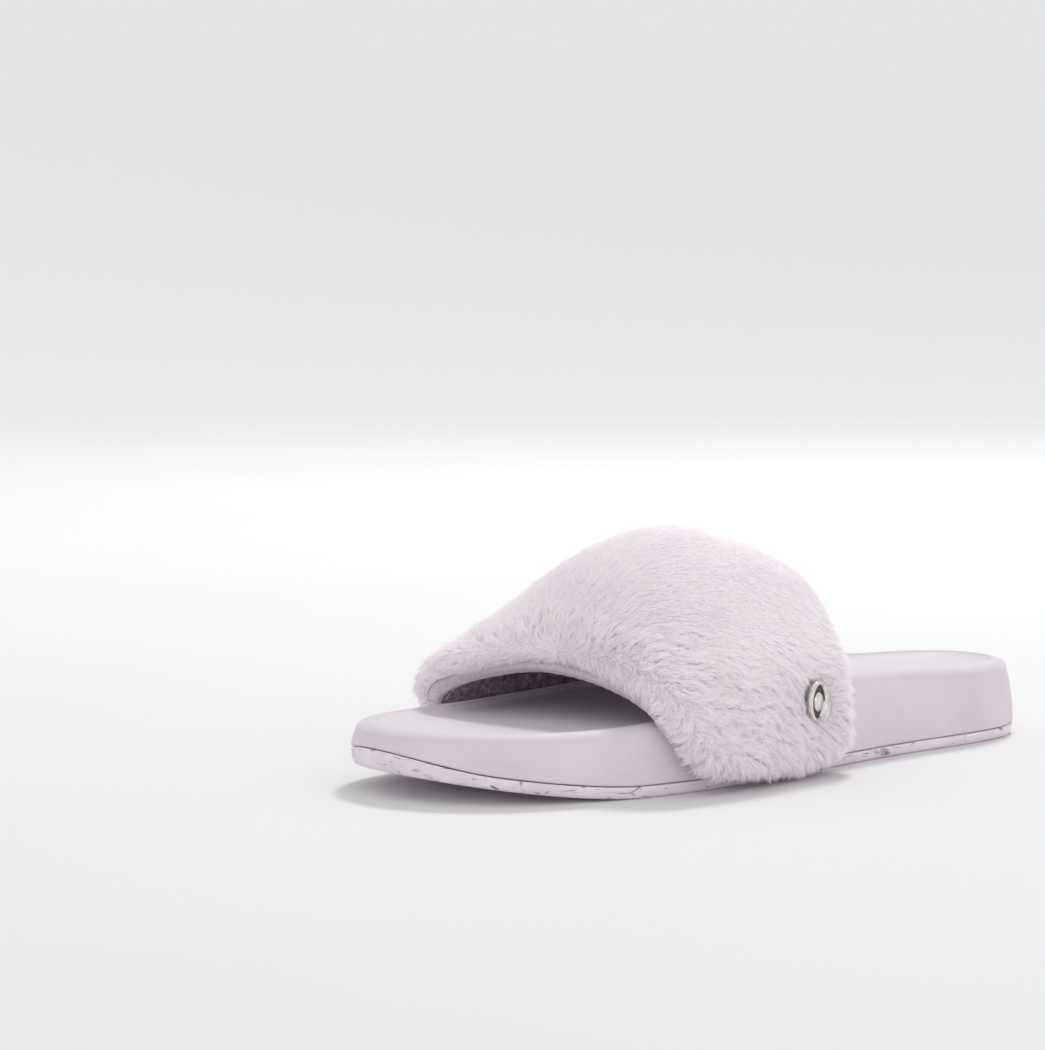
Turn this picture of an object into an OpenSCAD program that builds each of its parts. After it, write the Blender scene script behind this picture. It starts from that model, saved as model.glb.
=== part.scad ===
/* [Sole] */
// Length of the sole, toe to heel
sole_l = 270; // [230:1:300]
// Nominal width across the ball of the foot
sole_w = 96; // [84:1:108]
// Thickness of the outsole where it touches the floor
outsole_t = 4.1; // [3:0.1:6]
// Height that the toe end curls up off the floor
toe_spring = 8.7; // [4:0.1:14]
// Height of the midsole rim above the floor at the toe
rim_toe = 22; // [18:0.5:28]
// Further rise of the rim from the toe to the arch
arch_rise = 8.3; // [4:0.1:12]
// Drop of the rim from the arch to the heel
heel_drop = 3; // [0:0.1:6]
// How far the side wall leans in between the parting line and the rim
wall_lean = 3.4; // [1:0.1:6]

/* [Footbed] */
// Width of the rounded rim around the footbed
rim_w = 8; // [6:0.5:11]
// Depth of the pocket in the midsole that holds the footbed
footbed_pocket = 5; // [4:0.1:8]
// Thickness of the footbed foam
footbed_t = 3.4; // [2.5:0.1:5]
// Thickness of the cover bonded on the footbed
cover_t = 0.8; // [0.5:0.1:1.5]
// Depth of the hollow that the foot lies in, below the footbed's edge
hollow_d = 1.6; // [0:0.1:2]

/* [Strap] */
// Thickness of the strap lining
lining_t = 1.2; // [0.8:0.1:2]
// Thickness of the foam padding inside the strap
padding_t = 3; // [2:0.1:5]
// Thickness of the knitted backing that carries the pile
backing_t = 1; // [0.6:0.1:1.5]
// Thickness of the standing pile
pile_t = 6.5; // [4:0.1:9]
// Depth of the binding tape folded over the front and rear edges
binding_w = 2.5; // [2:0.1:4]
// Highest point of the foot opening at the front edge
front_h = 34; // [30:0.5:42]
// Highest point of the foot opening at the rear edge
rear_h = 55; // [48:0.5:64]

/* [Badge] */
// Diameter of the metal badge
badge_d = 14.5; // [12:0.5:20]
// Thickness of the metal badge
badge_t = 1.6; // [1.2:0.1:2.5]
// Angle that the badge faces away from straight sideways, towards the heel
badge_turn = 23; // [0:1:30]

/* [Hidden] */

lilac = [0.86, 0.82, 0.85];
pale_pile = [0.92, 0.88, 0.91];
grey_cloth = [0.70, 0.66, 0.70];
dark_cloth = [0.42, 0.37, 0.41];
nickel = [0.80, 0.79, 0.76];

// The toe points along -Y, the heel along +Y and the outer side of the left foot along +X.
// The outline is a closed B-spline. Its 16 control values are half widths at even angles,
// from the toe along the outer side to the heel, and back along the inner side.
OUTLINE = [-0.18, 0.50, 0.90, 1.07, 0.92, 0.69, 0.67, 0.54,
           0.02, -0.48, -0.67, -0.66, -0.76, -0.97, -0.96, -0.80];
SIDES = 96;
centre_x = 1.6;

spring_end = 0.24;
spring_power = 1.45;
toe_wrap = 2.7;
heel_wrap = 1.2;
heel_bevel = 0.9;
seam_gap = 0.05;
ground_edge = 3;

// Strap edges, as distances along the sole from its middle, at the outer rim, the crest and
// the inner rim
FRONT_EDGE = [-63.5, -66, -86];
REAR_EDGE = [18, 29, 19];
// The edges sweep together towards the bottom of the skirts: a steady slant and a round corner
front_slant = 12;
front_corner = 9;
rear_corner = 3;
corner_power = 6;
// Middle handles of the crest's height, and the crest's sideways place at the front and rear
crest_handles = [86, 69];
crest_front_x = -8.6;
crest_rear_x = -6.8;
// Handles of the arch: how far it stays wide at the top, and upright at the side
arch_top = 0.43;
arch_side = 0.31;
wall_gap = 0.12;
skirt_end = 0.93;
cloth_t = lining_t + padding_t + backing_t;
lasting_w = 9;
lasting_t = 1.1;
pile_set_back = 0.9;
pile_overhang = 2.5;
edge_thinning = 0.6;
arch_steps = 28;
skirt_steps = 4;
strap_steps = 10;

thread_r = 0.3;
stitch_l = 3;
stitch_count = 30;
stitch_inset = 4.5;

badge_u = -0.19;
badge_v = 0.79;
badge_stand = 2.6;
dimple_r = 10;
dimple = 0.7;
badge_rim = 0.6;
post_r = 0.7;
post_spacing = 6;
plate_d = 11;
plate_t = 0.8;

function mix(a, b, f) = a + (b - a) * f;
function ease(f) = let (c = min(1, max(0, f))) c * c * (3 - 2 * c);
function bezier(a, b, c, d, t) =
    pow(1 - t, 3) * a + 3 * pow(1 - t, 2) * t * b + 3 * (1 - t) * t * t * c + pow(t, 3) * d;
function unit(v) = v / norm(v);

// ---- Sole outline and heights ----

function control(i) = OUTLINE[(i + 16) % 16] * sole_w / 2;
function outline_x(angle) =
    let (a = (angle + 360) % 360, k = floor(a / 22.5), f = a / 22.5 - k)
    (pow(1 - f, 3) * control(k - 1) + (3 * pow(f, 3) - 6 * f * f + 4) * control(k)
     + (-3 * pow(f, 3) + 3 * f * f + 3 * f + 1) * control(k + 1) + pow(f, 3) * control(k + 2)) / 6
    - centre_x;
function outline(angle) = [outline_x(angle), -sole_l / 2 * cos(angle)];
function inset(angle, distance) =
    let (d = outline(angle + 0.5) - outline(angle - 0.5))
    outline(angle) + distance * unit([-d.y, d.x]);

function along(y) = y / sole_l + 0.5;
function floor_z(y) =
    toe_spring * pow(max(0, 1 - along(y) / spring_end), spring_power)
    + heel_bevel * ease((along(y) - 0.95) / 0.05);
function parting_z(y) =
    floor_z(y) + outsole_t + toe_wrap * pow(max(0, 1 - along(y) / 0.08), 2)
    + heel_wrap * ease((along(y) - 0.92) / 0.08);
function rim_z(y) =
    rim_toe + arch_rise * ease((along(y) - 0.15) / 0.5) - heel_drop * ease((along(y) - 0.65) / 0.22);
// Level 0 is the underside, 1 the parting line and 2 the rim
function level_z(y, level) =
    level < 1 ? mix(floor_z(y), parting_z(y), level) : mix(parting_z(y), rim_z(y), level - 1);

flat = function (p) 0;
function ring(distance, level, dz = 0, lift = flat) =
    [for (i = [0 : SIDES - 1])
        let (p = inset((i + 0.5) * 360 / SIDES, distance)) [p.x, p.y, level_z(p.y, level) + dz + lift(p)]];

// A closed solid through a row of loops with the same even number of points. Each end is
// capped by strips that join the loop's two halves.
module loft(loops) {
    m = len(loops[0]);
    last = m * (len(loops) - 1);
    walls = [for (r = [0 : len(loops) - 2], i = [0 : m - 1])
        let (a = r * m + i, b = r * m + (i + 1) % m)
        each [[a, a + m, b], [b, a + m, b + m]]];
    cap = [for (i = [0 : m / 2 - 2])
        each [[i, i + 1, m - 2 - i], [i, m - 2 - i, m - 1 - i]]];
    end_cap = [for (t = cap) [t[2] + last, t[1] + last, t[0] + last]];
    polyhedron(points = [for (p = loops) each p], faces = concat(walls, cap, end_cap));
}

// ---- Strap surface ----
// u runs around the strap: -1 to 0 up the outer skirt, 0 to 2 over the arch, 2 to 3 down the
// inner skirt. v runs from the front edge to the rear edge.

function fold(u) = max(0, -u, u - 2);
function edge_y(ends, u) =
    let (c = cos(90 * min(2, max(0, u))))
    ends[1] + (ends[0] - ends[2]) / 2 * c + ((ends[0] + ends[2]) / 2 - ends[1]) * c * c;
function front_y(u) =
    edge_y(FRONT_EDGE, u) + front_slant * fold(u) + front_corner * pow(fold(u), corner_power);
function rear_y(u) = edge_y(REAR_EDGE, u) - rear_corner * pow(fold(u), corner_power);

function skin(u, v) =
    let (y = mix(front_y(u), rear_y(u), v),
         outer = u <= 1,
         angle = acos(-2 * y / sole_l),
         f = 1 - fold(u),
         edge_x = outline_x(outer ? angle : 360 - angle) - (outer ? 1 : -1) * wall_lean * f * f,
         edge_z = mix(parting_z(y), rim_z(y), f),
         top_x = mix(crest_front_x, crest_rear_x, v),
         top_z = bezier(front_h, crest_handles[0], crest_handles[1], rear_h, v),
         t = max(0, outer ? min(u, 1) : 2 - u))
    [bezier(edge_x, edge_x, mix(top_x, edge_x, arch_top), top_x, t),
     y,
     bezier(edge_z, mix(edge_z, top_z, arch_side), top_z, top_z, t)];

tiny = 0.01;
function across(u, v) = (skin(u, v + tiny) - skin(u, v - tiny)) / (2 * tiny);
function around(u, v) = (skin(u + tiny, v) - skin(u - tiny, v)) / (2 * tiny);
// A point at a height above the inner surface of the strap
function strap_point(u, v, height) =
    skin(u, v) + (wall_gap + height) * unit(cross(across(u, v), around(u, v)));
// The v of a point that is a distance in from the front or the rear edge
function front_v(u, distance) = distance / norm(across(u, 0));
function rear_v(u, distance) = 1 - distance / norm(across(u, 1));

function strap_stations() = concat(
    [for (i = [0 : skirt_steps - 1]) -skirt_end * (1 - i / skirt_steps)],
    [for (i = [0 : arch_steps]) 2 * i / arch_steps],
    [for (i = [1 : skirt_steps]) 2 + skirt_end * i / skirt_steps]);

// A layer of the strap between two heights, with its front and rear edges set in. fullness
// gives the share of its thickness at a place, where s runs from 0 to 1 between its edges.
full = function (u, v, s) 1;
module strap_layer(low, high, front_in, rear_in, fullness = full) {
    steps = [for (j = [0 : strap_steps]) j / strap_steps];
    back = [for (j = [strap_steps : -1 : 0]) j / strap_steps];
    loft([for (u = strap_stations())
        let (v0 = front_v(u, front_in), v1 = rear_v(u, rear_in))
        concat(
            [for (s = steps) let (v = mix(v0, v1, s)) strap_point(u, v, mix(low, high, fullness(u, v, s)))],
            [for (s = back) strap_point(u, mix(v0, v1, s), low)])]);
}

// ---- Sole ----

module outsole() {
    color(lilac) loft([
        ring(ground_edge, 0),
        ring(ground_edge / 2, 0, 0.35),
        ring(0.4, 0.35),
        ring(0, 0.75),
        ring(0.1, 1, -0.5),
        ring(0.7, 1, -seam_gap)]);
}

// The side where a point lies has its own stretch of turned-in strap
function lasted_span(side) =
    let (u = side > 0 ? -1 : 3) [front_y(u) + 1, rear_y(u) - 1];
lasting_pocket = function (p)
    let (span = lasted_span(p.x), margin = 8)
    (p.y > span[0] - margin && p.y < span[1] + margin) ? lasting_t + seam_gap : 0;

module midsole() {
    color(lilac) loft([
        ring(lasting_w + 0.3, 1),
        ring(lasting_w + 0.1, 1, 0, lasting_pocket),
        ring(0.6, 1, 0, lasting_pocket),
        ring(0, 1, 0.8, lasting_pocket),
        ring(wall_lean * pow(0.35, 2), 1.35),
        ring(wall_lean * pow(0.7, 2), 1.7),
        ring(wall_lean * pow(0.85, 2), 1.85),
        ring(wall_lean + 0.6, 2, -0.9),
        ring(wall_lean + 2.2, 2),
        ring(wall_lean + 4, 2, -0.3),
        ring(rim_w, 2, -0.9),
        ring(rim_w + 0.1, 2, -footbed_pocket)]);
}

footbed_edge = rim_w + 0.2;
footbed_z = -footbed_pocket + seam_gap;
// The hollow starts behind the toe. Its shoulder falls part of the way, then it levels out.
shoulder_in = footbed_edge + 3;
hollow_in = footbed_edge + 7;
shoulder_fall = 0.6;
hollow = function (p) -hollow_d * ease((along(p.y) - 0.04) / 0.2) * ease((1 - along(p.y)) / 0.06);
hollow_shoulder = function (p) shoulder_fall * hollow(p);

module footbed() {
    color(pale_pile) loft([
        ring(footbed_edge + 0.4, 2, footbed_z),
        ring(footbed_edge, 2, footbed_z + 0.4),
        ring(footbed_edge, 2, footbed_z + footbed_t),
        ring(shoulder_in, 2, footbed_z + footbed_t, hollow_shoulder),
        ring(hollow_in, 2, footbed_z + footbed_t, hollow)]);
}

module footbed_cover() {
    under = footbed_z + footbed_t;
    color(lilac) loft([
        ring(hollow_in, 2, under, hollow),
        ring(shoulder_in, 2, under, hollow_shoulder),
        ring(footbed_edge, 2, under),
        ring(footbed_edge, 2, under + cover_t / 2),
        ring(footbed_edge + 0.6, 2, under + cover_t),
        ring(shoulder_in, 2, under + cover_t, hollow_shoulder),
        ring(hollow_in, 2, under + cover_t, hollow)]);
}

// ---- Strap ----

module strap_lining() {
    color(dark_cloth) strap_layer(0, lining_t, binding_w, binding_w);
}

module strap_padding() {
    color("gainsboro") strap_layer(lining_t, lining_t + padding_t, binding_w, binding_w);
}

module strap_backing() {
    color(grey_cloth) strap_layer(lining_t + padding_t, cloth_t, binding_w, binding_w);
}

// The pile stands full in the middle, thins towards both edges, dips round the badge and
// overhangs the rear edge
pile_fullness = function (u, v, s)
    let (r = norm(skin(u, v) - skin(badge_u, badge_v)) / dimple_r)
    (1 - edge_thinning * pow(abs(2 * s - 1), 4)) * (1 - dimple * exp(-r * r));

module fur_pile() {
    color(pale_pile)
        strap_layer(cloth_t, cloth_t + pile_t, pile_set_back, -pile_overhang, pile_fullness);
}

// A tape folded over one edge of the layers, as a section swept round the strap
module binding(edge_v) {
    bend = 0.9;
    section = [[0, cloth_t - bend], [bend, cloth_t], [binding_w, cloth_t],
               [binding_w, 0], [bend, 0], [0, bend]];
    loft([for (u = strap_stations()) [for (q = section) strap_point(u, edge_v(u, q[0]), q[1])]]);
}

module front_binding() {
    color(grey_cloth) binding(function (u, distance) front_v(u, distance));
}

// The rear tape is the same section turned round, so its points run the other way
module rear_binding() {
    bend = 0.9;
    section = [[binding_w, cloth_t], [bend, cloth_t], [0, cloth_t - bend],
               [0, bend], [bend, 0], [binding_w, 0]];
    color(grey_cloth) loft([for (u = strap_stations())
        [for (q = section) strap_point(u, rear_v(u, q[0]), q[1])]]);
}

// A row of separate thread stitches that lie on the inside of the lining
module stitch_row(edge_v) {
    corners = [[-1, 0], [0, 1], [1, 0], [0, -1]];
    for (i = [1 : stitch_count - 1]) {
        u = 2 * i / stitch_count;
        half = stitch_l / 2 / norm(around(u, 0.5));
        loft([for (s = [-1, 1]) [for (c = corners)
            strap_point(u + s * half, edge_v(u, stitch_inset + c.x * thread_r),
                thread_r * (c.y - 1))]]);
    }
}

module front_stitching() {
    color("white") stitch_row(function (u, distance) front_v(u, distance));
}

module rear_stitching() {
    color("white") stitch_row(function (u, distance) rear_v(u, -distance + 2 * stitch_inset));
}

// The strap's lower margin, turned in under the midsole and cemented in the parting line
module lasting(side) {
    span = lasted_span(side);
    steps = 12;
    outer_edge = -(wall_gap + cloth_t);
    corners = [[outer_edge, 0], [lasting_w, 0], [lasting_w, lasting_t], [outer_edge, lasting_t]];
    loft([for (i = [0 : steps])
        let (y = mix(span[0], span[1], side > 0 ? i / steps : 1 - i / steps),
             angle = acos(-2 * y / sole_l))
        [for (c = corners)
            let (p = inset(side > 0 ? angle : 360 - angle, c.x))
            [p.x, p.y, parting_z(p.y) + seam_gap / 2 + c.y]]]);
}

module lateral_lasting() {
    color(grey_cloth) lasting(1);
}

module medial_lasting() {
    color(grey_cloth) lasting(-1);
}

// ---- Badge ----

module on_badge_axis(height) {
    translate(strap_point(badge_u, badge_v, cloth_t))
        rotate([0, 0, badge_turn]) rotate([0, 90, 0]) translate([0, 0, height]) children();
}

module posts(radius, length) {
    for (s = [-1, 1]) translate([s * post_spacing / 2, 0, 0]) cylinder(h = length, r = radius, $fn = 24);
}

// A round disc with a raised rim and a low boss, on two posts that pass through the cloth
module badge() {
    post_l = badge_stand + backing_t + padding_t;
    color(nickel) on_badge_axis(badge_stand) {
        cylinder(h = badge_t, d = badge_d, $fn = 64);
        difference() {
            cylinder(h = badge_t + badge_rim, d = badge_d, $fn = 64);
            translate([0, 0, badge_t]) cylinder(h = badge_rim + 1, d = badge_d - 2.4, $fn = 64);
        }
        cylinder(h = badge_t + badge_rim, d = badge_d / 3, $fn = 48);
        translate([0, 0, -post_l]) posts(post_r, post_l);
    }
}

module badge_backing_plate() {
    color(nickel) on_badge_axis(-backing_t - padding_t) difference() {
        cylinder(h = plate_t, d = plate_d, $fn = 48);
        translate([0, 0, -1]) posts(post_r + 0.05, plate_t + 2);
    }
}

outsole();
midsole();
footbed();
footbed_cover();
strap_lining();
strap_padding();
strap_backing();
fur_pile();
front_binding();
rear_binding();
front_stitching();
rear_stitching();
lateral_lasting();
medial_lasting();
badge();
badge_backing_plate();
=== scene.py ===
"""A fluffy house slipper, for the left foot: the looks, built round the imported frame.

Everything is in metres in the part's own frame: +Z up, toe towards -Y, heel towards +Y and the
outer side of the foot towards +X. MM turns the millimetres of the design into metres.
"""
import math

import bpy
import numpy as np
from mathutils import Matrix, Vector, kdtree


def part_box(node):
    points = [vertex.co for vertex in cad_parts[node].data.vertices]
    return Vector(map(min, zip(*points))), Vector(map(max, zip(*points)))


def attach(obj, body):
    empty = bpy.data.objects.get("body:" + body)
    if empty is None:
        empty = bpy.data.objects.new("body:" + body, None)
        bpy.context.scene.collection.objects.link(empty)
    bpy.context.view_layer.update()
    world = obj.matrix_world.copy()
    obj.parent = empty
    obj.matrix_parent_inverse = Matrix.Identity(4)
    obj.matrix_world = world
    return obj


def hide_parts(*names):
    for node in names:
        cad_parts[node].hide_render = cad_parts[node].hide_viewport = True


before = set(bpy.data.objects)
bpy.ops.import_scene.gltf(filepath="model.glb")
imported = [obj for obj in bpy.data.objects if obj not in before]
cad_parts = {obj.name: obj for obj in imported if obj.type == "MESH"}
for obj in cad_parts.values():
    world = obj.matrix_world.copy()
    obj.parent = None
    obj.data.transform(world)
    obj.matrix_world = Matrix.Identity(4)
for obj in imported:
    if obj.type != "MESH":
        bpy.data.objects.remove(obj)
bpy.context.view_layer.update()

MM = 0.001

# -------------------- design values, in millimetres

SOLE_LOW, SOLE_HIGH = (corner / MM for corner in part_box("outsole"))
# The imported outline's straight sides stop just short of the sole's ends, hence the rounding
SOLE_L = float(round(SOLE_HIGH.y - SOLE_LOW.y))
SOLE_W = 96.0
OUTSOLE_T = 4.1
TOE_SPRING = 8.7
SPRING_END, SPRING_POWER = 0.24, 1.45
TOE_WRAP, HEEL_WRAP, HEEL_BEVEL = 2.7, 1.2, 0.9
RIM_TOE, ARCH_RISE, HEEL_DROP = 22.0, 8.3, 3.0
WALL_LEAN = 3.4
RIM_W = 8.0
CENTRE_X = 1.6
FOOTBED_POCKET, COVER_T = 5.0, 0.8
# The footbed's edge: its gap to the rim, its drop there, and its drop where the hollow is formed
LIP_GAP, LIP_DROP, LIP_DEPTH = 0.08, 0.13, 0.44
SHOULDER, HOLLOW_D, HOLLOW_FALL = 7.0, 1.75, 2.0
SEAM_GAP = 0.05

# Half widths at even angles, from the toe along the outer side to the heel and back
OUTLINE = np.array([-0.18, 0.50, 0.90, 1.07, 0.92, 0.69, 0.67, 0.54,
                    0.02, -0.48, -0.67, -0.66, -0.76, -0.97, -0.96, -0.80])

LINING_T, PADDING_T, BACKING_T = 1.2, 3.0, 1.0
CLOTH_T = LINING_T + PADDING_T + BACKING_T
BINDING_W = 2.5
FRONT_EDGE = (-63.5, -66.0, -86.0)
REAR_EDGE = (18.0, 29.0, 19.0)
FRONT_SLANT, FRONT_CORNER, REAR_CORNER, CORNER_POWER = 12.0, 9.0, 3.0, 6
CREST_Z = (34.0, 86.0, 69.0, 55.0)
CREST_X = (-8.6, -6.8)
ARCH_TOP, ARCH_SIDE = 0.43, 0.31
WALL_GAP = 0.12
SKIRT_END = 0.93
LASTING_W, LASTING_T = 9.0, 1.1

BADGE_U, BADGE_V, BADGE_TURN = -0.19, 0.79, 23.0
BADGE_D, BADGE_T, BADGE_RIM, BADGE_STAND = 14.5, 1.6, 0.6, 2.6
POST_R, POST_SPACING = 0.7, 6.0
BADGE_SIDES, POST_SIDES = 128, 24


# -------------------- small maths

def mix(a, b, f):
    return a + (b - a) * f


def ease(f):
    c = np.clip(f, 0, 1)
    return c * c * (3 - 2 * c)


def bezier(a, b, c, d, t):
    return (1 - t) ** 3 * a + 3 * (1 - t) ** 2 * t * b + 3 * (1 - t) * t * t * c + t ** 3 * d


def unit(v):
    return v / np.maximum(np.linalg.norm(v, axis=-1, keepdims=True), 1e-9)


def hash01(*cells):
    """A repeatable value from 0 to 1 for each whole-number cell."""
    n = np.zeros(np.broadcast(*cells).shape)
    for cell, prime in zip(cells, (127.1, 311.7, 74.7)):
        n = n + cell * prime
    return np.mod(np.sin(n) * 43758.5453, 1.0)


def noise(x, y, z):
    """Smooth value noise from -1 to 1 with cells one unit wide."""
    cell = [np.floor(c) for c in (x, y, z)]
    f = [c - k for c, k in zip((x, y, z), cell)]
    f = [c * c * (3 - 2 * c) for c in f]
    total = 0
    for i in (0, 1):
        for j in (0, 1):
            for k in (0, 1):
                w = ((f[0] if i else 1 - f[0]) * (f[1] if j else 1 - f[1]) * (f[2] if k else 1 - f[2]))
                total = total + w * hash01(cell[0] + i, cell[1] + j, cell[2] + k)
    return 2 * total - 1


def layered_noise(p, size, octaves):
    """Value noise at points p, in millimetres, whose largest features are `size` wide."""
    total = 0
    for o in range(octaves):
        q = p * 2 ** o / size + 17.3 * o
        total = total + noise(q[..., 0], q[..., 1], q[..., 2]) / 2 ** o
    return total / (2 - 0.5 ** (octaves - 1))


# -------------------- shape of the sole

def outline(angle):
    """Points of the sole's plan at angles in degrees, 0 at the toe and 90 on the outer side."""
    a = np.mod(angle, 360) / 22.5
    k = np.floor(a).astype(int)
    f = a - k
    pull = [(1 - f) ** 3, 3 * f ** 3 - 6 * f ** 2 + 4, -3 * f ** 3 + 3 * f ** 2 + 3 * f + 1, f ** 3]
    x = sum(w * OUTLINE[(k - 1 + i) % 16] for i, w in enumerate(pull)) / 6 * SOLE_W / 2
    return np.stack([x - CENTRE_X, -SOLE_L / 2 * np.cos(np.radians(angle))], -1)


def inset(angle, distance):
    d = outline(angle + 0.5) - outline(angle - 0.5)
    inward = unit(np.stack([-d[..., 1], d[..., 0]], -1))
    return outline(angle) + np.asarray(distance)[..., None] * inward


def along(y):
    return y / SOLE_L + 0.5


def floor_z(y):
    s = along(y)
    return (TOE_SPRING * np.maximum(0, 1 - s / SPRING_END) ** SPRING_POWER
            + HEEL_BEVEL * ease((s - 0.95) / 0.05))


def parting_z(y):
    s = along(y)
    return (floor_z(y) + OUTSOLE_T + TOE_WRAP * np.maximum(0, 1 - s / 0.08) ** 2
            + HEEL_WRAP * ease((s - 0.92) / 0.08))


def rim_z(y):
    s = along(y)
    return RIM_TOE + ARCH_RISE * ease((s - 0.15) / 0.5) - HEEL_DROP * ease((s - 0.65) / 0.22)


def level_z(y, level):
    """Height at a level: 0 the underside, 1 the parting line, 2 the rim."""
    if level < 1:
        return mix(floor_z(y), parting_z(y), level)
    return mix(parting_z(y), rim_z(y), level - 1)


def ring_angles(sides):
    return (np.arange(sides) + 0.5) * 360 / sides


def ring(sides, distance, level, dz):
    """A loop `distance` in from the sole's edge, dz above a level."""
    p = inset(ring_angles(sides), distance)
    return np.column_stack([p, level_z(p[:, 1], level) + dz])


# -------------------- shape of the strap

def fold(u):
    return np.maximum(0, np.maximum(-u, u - 2))


def edge_y(ends, u):
    c = np.cos(np.radians(90 * np.clip(u, 0, 2)))
    return ends[1] + (ends[0] - ends[2]) / 2 * c + ((ends[0] + ends[2]) / 2 - ends[1]) * c * c


def front_y(u):
    return edge_y(FRONT_EDGE, u) + FRONT_SLANT * fold(u) + FRONT_CORNER * fold(u) ** CORNER_POWER


def rear_y(u):
    return edge_y(REAR_EDGE, u) - REAR_CORNER * fold(u) ** CORNER_POWER


def skin(u, v):
    """The strap's inner surface. u is -1 to 0 up the outer skirt, 0 to 2 over the arch and 2 to 3
    down the inner skirt; v is 0 at the front edge and 1 at the rear edge."""
    u, v = np.broadcast_arrays(np.asarray(u, float), np.asarray(v, float))
    y = mix(front_y(u), rear_y(u), v)
    outer = u <= 1
    angle = np.degrees(np.arccos(np.clip(-2 * y / SOLE_L, -1, 1)))
    f = 1 - fold(u)
    side = np.where(outer, 1, -1)
    edge_x = outline(np.where(outer, angle, 360 - angle))[..., 0] - side * WALL_LEAN * f * f
    edge_z = mix(parting_z(y), rim_z(y), f)
    top_x = mix(*CREST_X, v)
    top_z = bezier(*CREST_Z, v)
    t = np.maximum(0, np.where(outer, u, 2 - u))
    return np.stack([bezier(edge_x, edge_x, mix(top_x, edge_x, ARCH_TOP), top_x, t), y,
                     bezier(edge_z, mix(edge_z, top_z, ARCH_SIDE), top_z, top_z, t)], -1)


TINY = 0.01


def across(u, v):
    return (skin(u, v + TINY) - skin(u, v - TINY)) / (2 * TINY)


def around(u, v):
    return (skin(u + TINY, v) - skin(u - TINY, v)) / (2 * TINY)


def skin_normal(u, v):
    return unit(np.cross(across(u, v), around(u, v)))


def strap_point(u, v, height):
    return skin(u, v) + (WALL_GAP + np.asarray(height)[..., None]) * skin_normal(u, v)


def front_v(u, distance):
    return distance / np.linalg.norm(across(u, 0.0), axis=-1)


def rear_v(u, distance):
    return 1 - distance / np.linalg.norm(across(u, 1.0), axis=-1)


# -------------------- meshes

def add_object(name, data):
    obj = bpy.data.objects.new(name, data)
    bpy.context.scene.collection.objects.link(obj)
    return obj


def new_object(name, points, faces, material):
    """An object from points in millimetres and lists of corners."""
    mesh = bpy.data.meshes.new(name)
    mesh.from_pydata((np.asarray(points) * MM).tolist(), [], faces)
    mesh.validate()
    mesh.polygons.foreach_set("use_smooth", [True] * len(mesh.polygons))
    mesh.materials.append(material)
    mesh.update()
    return add_object(name, mesh)


def wall_faces(loops, size):
    r, i = np.meshgrid(np.arange(loops - 1), np.arange(size), indexing="ij")
    a = r * size + i
    b = r * size + (i + 1) % size
    return np.stack([a, b, b + size, a + size], -1).reshape(-1, 4).tolist()


def closed_faces(loops, size, start=0):
    """Faces of a tube with both ends closed, for points that begin at `start`."""
    ends = [list(range(size))[::-1], [(loops - 1) * size + k for k in range(size)]]
    return [[c + start for c in f] for f in wall_faces(loops, size) + ends]


def keep(p, share):
    return p


def at_height(p, z):
    return np.concatenate([p[..., :2], z[..., None]], -1)


def cap_grid(loop, start, next_index, columns, lift):
    """A cap over a loop that pairs point i with point n-1-i. Returns new points and faces wound
    like the loop, with `lift` giving the height of each inner point."""
    n = len(loop)
    rows = np.arange(1, n // 2 - 1)
    a, b = loop[rows], loop[n - 1 - rows]
    f = np.arange(1, columns)[None, :, None] / columns
    inner = a[:, None] * (1 - f) + b[:, None] * f
    inner = lift(inner, f[..., 0])
    index = np.empty((len(rows), columns + 1), int)
    index[:, 0] = start + rows
    index[:, -1] = start + n - 1 - rows
    index[:, 1:-1] = next_index + np.arange(inner[..., 0].size).reshape(inner.shape[:2])
    quads = np.stack([index[:-1, :-1], index[1:, :-1], index[1:, 1:], index[:-1, 1:]], -1)
    faces = quads.reshape(-1, 4).tolist()
    half = start + n // 2
    faces.append([start] + index[0].tolist() + [start + n - 1])
    faces.append(index[-1][::-1].tolist() + [half - 1, half])
    return inner.reshape(-1, 3), faces


def loft(name, loops, material, columns=1, low_lift=keep, high_lift=keep):
    """A closed solid through loops of the same size, capped by grids of strips across."""
    loops = np.asarray(loops, float)
    count, size = loops.shape[:2]
    points = [loops.reshape(-1, 3)]
    faces = wall_faces(count, size)
    total = count * size
    for start, lift, turn in ((0, low_lift, -1), ((count - 1) * size, high_lift, 1)):
        inner, cap = cap_grid(points[0][start:start + size], start, total, columns, lift)
        points.append(inner)
        total += len(inner)
        faces += [f[::turn] for f in cap]
    return new_object(name, np.vstack(points), faces, material)


def place(obj, slot, *nodes):
    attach(obj, "root")
    if nodes:
        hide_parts(*nodes)


# -------------------- materials

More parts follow.
